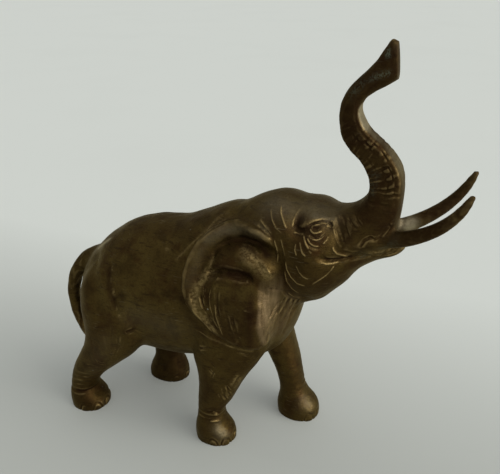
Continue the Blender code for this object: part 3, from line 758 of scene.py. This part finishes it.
def trunk_run(place):
    """How far along the trunk each point lies, and how far towards its underside, -1 to 1."""
    rows = smooth_rows(TRUNK, 6)
    outer, inner = rows[:, 0:2], rows[:, 2:4]
    centre = (outer + inner) / 2
    flank = place[:, [0, 2]]
    steps = np.append(0, np.cumsum(np.linalg.norm(np.diff(centre, axis=0), axis=1)))
    share = near_line(flank, centre)[1]
    along = share * steps[-1]
    half = np.column_stack([np.interp(along, steps, (inner - outer)[:, i] / 2) for i in range(2)])
    middle = np.column_stack([np.interp(along, steps, centre[:, i]) for i in range(2)])
    under = ((flank - middle) * half).sum(1) / (half**2).sum(1)
    return along, under


def ripple(place, length, seed):
    """Soft random waves of about this length, -1 to 1."""
    rng = np.random.default_rng(seed)
    waves = rng.normal(size=(9, 3))
    sizes = np.linalg.norm(waves, axis=1)[:, None]
    waves *= (2 * math.pi / length) * rng.uniform(0.6, 1.4, (9, 1)) / sizes
    return np.sin(place @ waves.T + rng.uniform(0, 6.28, 9)).sum(1) / 5


def trunk_wrinkles(place, out):
    """Height of the rings across the trunk, the knobs between them and the edge of its underside."""
    along, under = trunk_run(place)
    x, y, z = place.T
    on_trunk = (z > 166) & (x < 90) & (np.abs(under) < 1.4) & (np.abs(y) < 14)
    wander = 0.9 * ripple(place, 13, 3) + 0.06 * np.abs(y) - 1.1 * under
    side = np.clip(1.5 - 1.6 * under**2, 0.12, 1) * np.clip(0.6 + 1.5 * ripple(place, 6, 4), 0, 1.5)
    height = np.zeros(len(place))
    for at, depth, width in TRUNK_RINGS:
        gap = (along + wander - at) / width
        height -= depth * (bell(gap) - 0.35 * bell(np.abs(gap) - 1.9))
    row = np.searchsorted([ring[0] for ring in TRUNK_RINGS], along + wander)
    stagger = np.random.default_rng(5).uniform(0, 1, len(TRUNK_RINGS) + 1)[row]
    across = (under * 8 / 3.6 + stagger + 0.15 * ripple(place, 7, 12)) % 1 - 0.5
    cobbles = unit((along - 44) / 5) * unit((86 - along) / 8) * unit(under + 0.5)
    height -= 0.55 * bell(across / 0.12) * cobbles
    edge = 0.1 * bell((under - 0.93) / 0.1) - 0.2 * bell((under - 0.68) / 0.1)
    flat_side = np.abs(out[:, 1]) * unit((along - 30) / 12) * unit((100 - along) / 12)
    return np.where(on_trunk, height * side * unit((along - 30) / 6) + edge * flat_side, 0)


def leg_place(place, rows, hand):
    """Where a point lies on a leg: whether on it, the angle from its front, and the leg's size there."""
    rows = np.array(rows)
    z = place[:, 2]
    rear, front, inner, outer = (np.interp(z, rows[:, 0], rows[:, i]) for i in range(1, 5))
    dx, dy = place[:, 0] - (rear + front) / 2, hand * place[:, 1] - (inner + outer) / 2
    size = (front - rear + outer - inner) / 4
    on_leg = (np.hypot(dx, dy) < 1.35 * size) & (z < 62) & (np.sign(place[:, 1]) == hand)
    return on_leg, np.arctan2(dy, dx), size, dx


def foot(place, out, rows, hand, rings):
    """Rings round the ankle and four toenails round the front of the foot."""
    on_leg, angle, size, dx = leg_place(place, rows, hand)
    z = place[:, 2]
    height = np.zeros(len(place))
    for at, depth, width, tilt, reach in rings:
        line = at + tilt * dx + 0.7 * ripple(place, 17, int(at))
        gap = (z - line) / width
        round_it = unit(1.4 - np.abs(angle - 0.9) / reach)
        height -= depth * (bell(gap) - 0.35 * bell(np.abs(gap) - 2)) * round_it
    for toe in (-0.75, -0.05, 0.65, 1.35):
        arch = np.hypot((angle - toe) * size / 3.2, (z - 0.5) / 5)
        nail = bell((arch - 1) / 0.17)
        height += (0.25 * unit(1 - arch) ** 0.5 - 0.42 * nail) * (0.8 + 0.7 * ripple(place, 9, 13))
    upright = unit(1.5 - 2 * np.abs(out[:, 2]))
    return np.where(on_leg, height * upright, 0)


def tail_hair(place):
    """Twisted locks down the tail."""
    rows = smooth_rows(TAIL, 6)[:, :3]
    away, share = near_line(place, rows)
    spot = np.column_stack([np.interp(share, np.linspace(0, 1, len(rows)), rows[:, i]) for i in range(3)])
    off = place - spot
    angle = np.arctan2(off[:, 1], np.hypot(off[:, 0], off[:, 2]))
    hair = np.sin(4 * angle + 42 * share + 2 * ripple(place, 9, 8))
    on_tail = unit((-118 - place[:, 0]) / 3) * (away < 8) * (place[:, 2] > 42)
    return 0.13 * hair * on_tail


def leg_cuts(place, cuts, rows, other):
    """Cuts on a right leg, and the same cuts moved to where the left leg stands, as from strokes()."""
    rows, other = np.array(rows), np.array(other)
    z = place[:, 2]
    left = place[:, 1] > 0
    shift = [np.interp(z, r[:, 0], (r[:, 1] + r[:, 2]) / 2) for r in (rows, other)]
    flank = np.column_stack([place[:, 0] - np.where(left, shift[1] - shift[0], 0), z])
    return np.array(strokes(flank, cuts)) * (z < 75)


def fine_carve(mesh):
    """Cuts the fine carving; gives the painted glint at each point, and the finest points."""
    place, out = surface(mesh)
    side = facing(place, out)
    flank = place[:, [0, 2]]
    lines = np.array(strokes(flank, CREASES)) * side
    lines += np.array(strokes(flank, THROAT)) * unit(3 * out[:, 0] + 0.4)
    lines += leg_cuts(place, FRONT_CUTS, FRONT_RIGHT, FRONT_LEFT) * side
    lines += leg_cuts(place, HIND_CUTS, HIND_RIGHT, HIND_LEFT) * side
    height, painted_glint = lines
    height += trunk_wrinkles(place, out)
    for rows, hand, rings in (
        (FRONT_RIGHT, -1, FRONT_RINGS),
        (FRONT_LEFT, 1, FRONT_RINGS),
        (HIND_RIGHT, -1, HIND_RINGS),
        (HIND_LEFT, 1, HIND_RINGS),
    ):
        height += foot(place, out, rows, hand, rings)
    finest = np.argsort(np.abs(height) + 0.3 * painted_glint)[-KEPT_POINTS:].tolist()
    height += tail_hair(place)
    thick = unit((place[:, 0] + 119) / 6) * unit((80 - place[:, 0]) / 6)
    height += (0.16 * ripple(place, 15, 1) + 0.07 * ripple(place, 5.5, 2)) * thick
    raised(mesh, place, out, height)
    return painted_glint * np.clip(0.45 + 1.5 * ripple(place, 3.4, 11), 0.05, 1), finest


def relief(mesh, rounds):
    """How far each point stands off the surface smoothed over so many rounds, for each count of them."""
    place, out = surface(mesh)
    ends = np.empty(2 * len(mesh.edges), int)
    mesh.edges.foreach_get("vertices", ends)
    a, b = ends.reshape(-1, 2).T
    count = len(place)
    degree = np.bincount(a, minlength=count) + np.bincount(b, minlength=count)
    calm = place.copy()
    for done in range(1, max(rounds) + 1):
        for axis in range(3):
            row = calm[:, axis]
            near = np.bincount(a, row[b], count) + np.bincount(b, row[a], count)
            calm[:, axis] = 0.4 * row + 0.6 * near / degree
        if done in rounds:
            yield ((place - calm) * out).sum(1)


def mark(mesh, name, values):
    layer = mesh.attributes.new(name, "FLOAT", "POINT")
    layer.data.foreach_set("value", np.asarray(values, np.float32))


def stain(mesh, painted_glint):
    """Marks where the patina is dirty, wears through to gold or is pale, where the rump is scuffed, and
    where highlights, sheen, glints and shade are painted, for the material to read.
    """
    place, out = surface(mesh)
    flank = place[:, [0, 2]]
    side = facing(place, out)
    x, y, z = place.T
    kinds = {kind: np.zeros(len(place)) for kind in ("grime", "wear_and_glint", "cream", "pale", "painted_chest_light")}

    def add(kind, values):
        kinds[kind] = np.maximum(kinds[kind], values)

    for kind, table in (("grime", GRIME_AND_SHADE), ("wear_and_glint", WORN), ("cream", PAINTED_LIGHT), ("pale", PALE)):
        for strength, width, line in table:
            add(kind, strength * bell(off_line(flank, line) / width) * side)
    for points, table in ((place, SPOTS), (np.column_stack([x, np.abs(y), z]), PAIRED_SPOTS)):
        for kind, strength, width, line in table:
            add(kind, strength * bell(off_line(points, line) / width))

    # painted highlight on the chest, which faces the light from the front: from the front edge of the ear's
    # flap to where the breast turns away
    front = np.interp(z, *CHEST_FRONT)
    right = np.interp(z, *CHEST_RIGHT)
    chest = unit((x - front) / 1.2) * unit((z - 76) / 8) * unit((130 - z) / 18)
    chest *= np.clip(1 - (x - right) / 6, 0.35, 1) * unit((40 - x) / 4) * unit((np.abs(y) - 8) / 8)
    add("painted_chest_light", chest)

    # trunk, dark patina but for a painted highlight along the lit band inside its bend
    along, under = trunk_run(place)
    trunk = (np.abs(y) < 15) * (np.abs(under) < 1.4) * (x < 88) * (z > 150)
    lit_strip = unit((under - 0.8) / 0.12) * unit((along - 22) / 8) * unit((106 - along) / 8)
    # painted highlight along the lit band of the underside, brightest up the bend
    add("cream", (0.08 + 0.72 * unit((along - 52) / 12)) * lit_strip * trunk)
    clear = lit_strip * np.clip(0.3 + (along - 50) / 10, 0.3, 1)
    add("grime", (0.85 - clear) * trunk * unit((along - 14) / 16))
    # the painted glints along the fine lines go in with the real wear marks
    add("wear_and_glint", 0.6 * painted_glint)
    for name, values in kinds.items():
        mark(mesh, name, np.minimum(values, 1))
    for name, values in zip(("line", "hollow"), relief(mesh, (7, 34))):
        mark(mesh, name, values)


def cut(bm, above, place, towards):
    """Cuts what lies this high flat at a plane, and closes it."""
    tips = [f for f in bm.faces if all(v.co.z > above for v in f.verts)]
    edges = {e for f in tips for e in f.edges}
    verts = {v for f in tips for v in f.verts}
    geom = [*verts, *edges, *tips]
    bmesh.ops.bisect_plane(bm, geom=geom, plane_co=place, plane_no=towards, clear_outer=True)
    bmesh.ops.holes_fill(bm, edges=[e for e in bm.edges if e.is_boundary], sides=0)


def stood(mesh):
    """Cuts the end of the trunk and the soles flat, and sets the figure over the cast solid's middle."""
    bm = bmesh.new()
    bm.from_mesh(mesh)
    cut(bm, 220 * PART, (TRUNK_END, 0, 240 * PART), (1, 0, 0.1))
    cut(bm, -1, (0, 0, 0), (0, 0, -1))
    bmesh.ops.triangulate(bm, faces=bm.faces)
    low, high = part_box("elephant")
    for axis in range(2):
        reach = [v.co[axis] for v in bm.verts]
        shift = (low[axis] + high[axis]) / 2 - (max(reach) + min(reach)) / 2
        for vert in bm.verts:
            vert.co[axis] += shift
    bm.to_mesh(mesh)
    bm.free()


class Nodes:
    """Short hand for building a material's nodes."""

    def __init__(self, name):
        self.material = bpy.data.materials.new(name)
        self.material.use_nodes = True
        self.tree = self.material.node_tree
        self.shader = self.tree.nodes["Principled BSDF"]

    def set(self, socket, source):
        if isinstance(source, bpy.types.NodeSocket):
            self.tree.links.new(source, socket)
        else:
            socket.default_value = source

    def add(self, kind, inputs=(), **settings):
        node = self.tree.nodes.new(kind)
        for key, value in settings.items():
            setattr(node, key, value)
        for key, source in dict(inputs).items():
            self.set(node.inputs[key], source)
        return node

    def attribute(self, name):
        return self.add("ShaderNodeAttribute", attribute_name=name).outputs["Fac"]

    def math(self, operation, *values):
        return self.add("ShaderNodeMath", dict(enumerate(values)), operation=operation).outputs[0]

    def plus(self, one, other):
        return self.math("ADD", one, other)

    def times(self, one, other):
        return self.math("MULTIPLY", one, other)

    def stretched(self, where, scale, turn=0.0):
        """The place stretched, so that a noise there runs in streaks, and turned about Y."""
        inputs = {"Vector": where, "Rotation": (0, turn, 0), "Scale": scale}
        return self.add("ShaderNodeMapping", inputs).outputs[0]

    def span(self, value, low, high, to_low=0.0, to_high=1.0):
        """The value from low..high brought to to_low..to_high, and held there."""
        inputs = {"Value": value, 1: low, 2: high, 3: to_low, 4: to_high}
        return self.add("ShaderNodeMapRange", inputs).outputs[0]

    def noise(self, where, scale, detail=3.0, rough=0.55):
        inputs = {"Vector": where, "Scale": scale, "Detail": detail, "Roughness": rough}
        return self.add("ShaderNodeTexNoise", inputs).outputs["Fac"]

    def mix(self, factor, one, other):
        node = self.add("ShaderNodeMix", data_type="RGBA")
        for key, source in (("Factor", factor), ("A", one), ("B", other)):
            socket = next(s for s in node.inputs if s.name == key and s.enabled)
            self.set(socket, source)
        return next(s for s in node.outputs if s.enabled)


def old_brass():
    """Brown-olive patina on cast brass: dark in the hollows, dull gold where the edges wear, some pale
    bloom, and painted highlights, sheen, glints and shade.
    """
    n = Nodes("old_brass")
    where = n.add("ShaderNodeTexCoord").outputs["Object"]
    cloud = n.noise(where, 28, 4, 0.6)
    patch = n.noise(where, 90, 5, 0.62)
    rust = n.noise(where, 52, 5, 0.7)
    grain = n.noise(where, 900, 3, 0.6)
    fleck = n.noise(where, 640, 3, 0.65)
    streaks = n.noise(n.stretched(where, (110, 160, 700), -0.7), 1.0, 3, 0.6)
    strands = n.noise(n.stretched(where, (420, 420, 60), 0.3), 1.0, 4, 0.65)
    hairlines = n.noise(n.stretched(where, (150, 200, 1500), 0.9), 1.0, 2, 0.6)
    scratch = n.noise(n.stretched(where, (220, 220, 1500)), 1.0, 2, 0.5)
    line, hollow = n.attribute("line"), n.attribute("hollow")
    edges = n.span(n.plus(line, n.span(patch, 0.3, 0.7, -0.03, 0.03)), 0.045, 0.17)
    furrows = n.span(line, -0.04, -0.2)
    hollows = n.span(n.plus(hollow, n.span(patch, 0.3, 0.7, -0.05, 0.05)), -0.10, -0.7, 0.0, 0.7)
    dirt = n.math("MAXIMUM", hollows, n.times(furrows, 0.8))
    grime = n.math("MAXIMUM", n.times(n.attribute("grime"), n.span(patch, 0.3, 0.6, 0.7, 1.0)), dirt)
    wear_and_glint = n.math("MAXIMUM", n.times(n.attribute("wear_and_glint"), n.span(fleck, 0.40, 0.58, 0.2, 1.0)), edges)
    wear_and_glint = n.times(wear_and_glint, n.span(n.attribute("grime"), 0.5, 1.0, 1.0, 0.15))
    pale = n.times(n.attribute("pale"), n.span(grain, 0.42, 0.6))
    cream = n.times(n.attribute("cream"), n.span(patch, 0.25, 0.55, 0.55, 1.0))
    cream = n.times(cream, n.span(fleck, 0.38, 0.56, 0.75, 1.0))
    specks = n.add("ShaderNodeTexVoronoi", {"Vector": where, "Scale": 75.0}).outputs["Distance"]
    speck = n.times(n.span(specks, 0.055, 0.025), n.span(cloud, 0.42, 0.56))
    hairline = n.times(n.span(hairlines, 0.62, 0.72), n.span(n.noise(where, 60, 2), 0.48, 0.62))

    skin = n.mix(n.span(cloud, 0.38, 0.62), (0.055, 0.0315, 0.008, 1), (0.093, 0.061, 0.0155, 1))
    skin = n.mix(n.span(rust, 0.5, 0.64, 0.0, 0.75), skin, (0.042, 0.018, 0.005, 1))
    skin = n.mix(n.span(patch, 0.52, 0.66, 0.0, 0.6), skin, (0.030, 0.017, 0.005, 1))
    skin = n.mix(n.span(streaks, 0.58, 0.68, 0.0, 0.6), skin, (0.022, 0.011, 0.004, 1))
    skin = n.mix(n.span(grain, 0.5, 0.7, 0.0, 0.5), skin, (0.026, 0.015, 0.004, 1))
    skin = n.mix(n.times(hairline, 0.6), skin, (0.17, 0.13, 0.07, 1))
    painted_chest_light = n.times(n.attribute("painted_chest_light"), n.span(strands, 0.34, 0.6, 0.35, 1.0))
    # painted highlight on the chest
    skin = n.mix(painted_chest_light, skin, (0.25, 0.172, 0.088, 1))
    # painted highlights and sheen, and the pale scuff on the rump
    skin = n.mix(cream, skin, (0.37, 0.315, 0.20, 1))
    # dark patina in the hollows and dirt, with painted shade under the jaw, on the far hind leg and under
    # the upper lids
    skin = n.mix(n.times(grime, 0.85), skin, (0.022, 0.0085, 0.0036, 1))
    # dull gold wear, with the painted glints along the fine lines
    skin = n.mix(n.times(wear_and_glint, 0.85), skin, (0.32, 0.225, 0.09, 1))
    skin = n.mix(n.times(pale, 0.7), skin, (0.19, 0.22, 0.15, 1))
    skin = n.mix(n.times(speck, 0.8), skin, (0.34, 0.31, 0.24, 1))

    rough = n.span(patch, 0.3, 0.7, 0.41, 0.55)
    rough = n.plus(rough, n.times(grime, 0.22))
    rough = n.math("SUBTRACT", rough, n.times(wear_and_glint, 0.06))

    pits = n.add("ShaderNodeTexVoronoi", {"Vector": where, "Scale": 420.0}).outputs["Distance"]
    pit = n.span(pits, 0.0, 0.22, -1.0, 0.0)
    pit = n.times(pit, n.span(patch, 0.5, 0.68))
    bumps = n.plus(n.times(grain, 0.5), n.times(scratch, 0.35))
    bumps = n.plus(bumps, n.times(pit, 0.5))
    bumps = n.plus(bumps, n.times(patch, 0.9))
    bump = n.add("ShaderNodeBump", {"Strength": 0.5, "Distance": 0.0007, "Height": bumps}).outputs[0]

    n.set(n.shader.inputs["Base Color"], skin)
    n.set(n.shader.inputs["Metallic"], n.span(wear_and_glint, 0.0, 1.0, 0.92, 0.96))
    n.set(n.shader.inputs["Specular Tint"], (0.96, 0.87, 0.66, 1))
    n.set(n.shader.inputs["Roughness"], rough)
    n.set(n.shader.inputs["Normal"], bump)
    return n.material


def elephant():
    mesh = modified(joined(forms()), "REMESH", mode="VOXEL", voxel_size=CELL)
    softened(mesh, SOFTEN_ROUNDS)
    mesh = modified(mesh, "SUBSURF", levels=1, render_levels=1)
    carve(mesh)
    mesh = modified(mesh, "REMESH", mode="VOXEL", voxel_size=FINE_CELL)
    softened(mesh, 3)
    painted_glint, finest = fine_carve(mesh)
    stain(mesh, painted_glint)
    ratio = FINE_FACES / (2 * len(mesh.polygons))
    spare = {"vertex_group": "kept", "invert_vertex_group": True}
    mesh = modified(mesh, "DECIMATE", kept=finest, ratio=ratio, **spare)
    stood(mesh)
    mesh.shade_smooth()
    mesh.materials.append(old_brass())
    piece = bpy.data.objects.new("elephant_cast", mesh)
    bpy.context.scene.collection.objects.link(piece)
    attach(piece, "root")
    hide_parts("elephant")


def floor():
    """A pale sheet that the figure stands on, far wider than the view, with painted shade that makes it
    duller near the camera, and a faint painted glow.
    """
    bm = bmesh.new()
    bmesh.ops.create_grid(bm, x_segments=8, y_segments=8, size=9)
    mesh = bpy.data.meshes.new("floor")
    bm.to_mesh(mesh)
    bm.free()
    n = Nodes("pale_sheet")
    where = n.add("ShaderNodeTexCoord").outputs["Object"]
    split = n.add("ShaderNodeSeparateXYZ", {"Vector": where})
    deep = split.outputs["Y"]
    # painted shade: the sheet darker towards the camera, with a faint random mottle
    painted_falloff_and_mottle = n.plus(n.span(deep, -0.03, 0.22), n.span(n.noise(where, 3, 2), 0.3, 0.7, -0.04, 0.04))
    sheet = n.mix(painted_falloff_and_mottle, (0.385, 0.398, 0.365, 1), (0.585, 0.606, 0.565, 1))
    n.set(n.shader.inputs["Base Color"], sheet)
    # the sheet glows faintly in its own colour, painted light that lifts the shadows on it
    n.set(n.shader.inputs["Emission Color"], sheet)
    n.set(n.shader.inputs["Emission Strength"], 0.22)
    n.set(n.shader.inputs["Roughness"], 0.7)
    mesh.materials.append(n.material)
    ground = bpy.data.objects.new("floor", mesh)
    bpy.context.scene.collection.objects.link(ground)


def lamp(name, kind, place, power, colour, **settings):
    """A lamp at this place, turned to the figure."""
    light = bpy.data.lights.new(name, kind)
    light.energy = power
    light.color = colour
    for key, value in settings.items():
        setattr(light, key, value)
    carrier = bpy.data.objects.new(name, light)
    carrier.location = place
    carrier.rotation_euler = (Vector((0, 0, 0.1)) - carrier.location).to_track_quat("-Z", "Y").to_euler()
    bpy.context.scene.collection.objects.link(carrier)


def studio():
    floor()
    world = bpy.data.worlds.new("studio")
    world.use_nodes = True
    backdrop = world.node_tree.nodes["Background"]
    backdrop.inputs["Color"].default_value = (0.95, 0.98, 1.0, 1)
    backdrop.inputs["Strength"].default_value = 0.42
    bpy.context.scene.world = world
    lamp("daylight", "SUN", (1.0, -0.1, 1.0), 0.85, (1.0, 0.99, 0.96), angle=1.1)
    lamp("window", "SUN", (1.2, -0.15, 0.45), 1.4, (1.0, 0.985, 0.95), angle=0.8)
    lamp("ceiling", "SUN", (0.3, -0.2, 1.3), 0.4, (0.97, 0.985, 1.0), angle=1.3)
    bpy.context.scene.view_settings.view_transform = "Standard"


def camera():
    lens = bpy.data.cameras.new("camera")
    lens.lens = LENS
    lens.sensor_width = 36
    lens.clip_start = 0.01
    carrier = bpy.data.objects.new("camera", lens)
    carrier.location = CAMERA_TARGET + CAMERA_BACK * CAMERA_DISTANCE
    carrier.rotation_euler = CAMERA_BACK.to_track_quat("Z", "Y").to_euler()
    bpy.context.scene.collection.objects.link(carrier)
    bpy.context.scene.camera = carrier


camera()
studio()
elephant()
